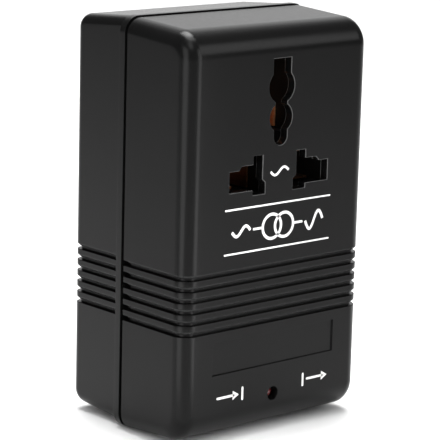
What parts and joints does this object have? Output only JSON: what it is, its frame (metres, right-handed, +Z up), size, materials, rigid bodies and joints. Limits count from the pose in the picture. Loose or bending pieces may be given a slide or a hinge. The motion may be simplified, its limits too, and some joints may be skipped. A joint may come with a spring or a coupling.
{
  "type": "travel voltage converter",
  "caption": "Black box-shaped travel voltage converter: two moulded shells round a transformer, with a universal pin outlet, an indicator lamp, a rear two-pin inlet and a sliding selector.",
  "frame": {"origin": "bottom centre of the body: the lowest edge at the parting line, midway between the sides and between front and back", "axes": "+Z up along the height, -Y out of the front face with the outlet, +X to the right as seen from the front"},
  "size_m": [0.0544, 0.042, 0.0943],
  "materials": {
    "case_plastic": "fine satin moulding",
    "inner_plastic": "plain moulding",
    "screw_steel": "zinc plated",
    "contact_copper": "bare copper strip",
    "core_steel": "stacked sheet edges",
    "band_steel": "bright strip",
    "bobbin_plastic": "natural nylon",
    "winding_copper": "enamelled wire",
    "tape_yellow": "polyester tape",
    "cutout_black": "sleeved case",
    "board_green": "lacquered laminate",
    "lamp_red": "clear tinted lens",
    "tinned_wire": "tinned",
    "resistor_tan": "lacquered",
    "fuse_glass": "clear tube",
    "fuse_metal": "nickel plated",
    "pin_metal": "nickel plated",
    "selector_red": "moulded",
    "contact_brass": "bare brass strip",
    "lead_brown": "insulated wire",
    "lead_blue": "insulated wire",
    "lead_red": "insulated wire"
  },
  "bodies": {
    "case": {"front_case": "case_plastic", "rear_cover": "case_plastic", "case_screws": "screw_steel", "outlet_carrier": "inner_plastic", "outlet_backplate": "inner_plastic", "outlet_screws": "screw_steel", "live_contact": "contact_copper", "neutral_contact": "contact_copper", "earth_contact": "contact_copper", "e_laminations": "core_steel", "i_laminations": "core_steel", "core_band": "band_steel", "bobbin": "bobbin_plastic", "inner_winding": "winding_copper", "interlayer_tape": "tape_yellow", "outer_winding": "winding_copper", "outer_tape": "tape_yellow", "thermal_cutout": "cutout_black", "lamp_board": "board_green", "board_screws": "screw_steel", "indicator_lamp": "lamp_red", "lamp_legs": "tinned_wire", "series_resistor": "resistor_tan", "resistor_legs": "tinned_wire", "fuse_tube": "fuse_glass", "fuse_caps": "fuse_metal", "fuse_element": "tinned_wire", "fuse_clips": "contact_brass", "inlet_housing": "inner_plastic", "inlet_pins": "pin_metal", "inlet_screws": "screw_steel", "selector_housing": "inner_plastic", "selector_terminals": "contact_brass", "selector_screws": "screw_steel", "brown_leads": "lead_brown", "blue_leads": "lead_blue", "tap_leads": "lead_red"},
    "slider": {"selector_slider": "selector_red", "selector_bridge": "contact_brass"}
  },
  "joints": [
    {"name": "selector_slide", "type": "slide", "parent": "case", "child": "slider", "axis": [1, 0, 0], "range_m": [0, 0.0052]}
  ]
}
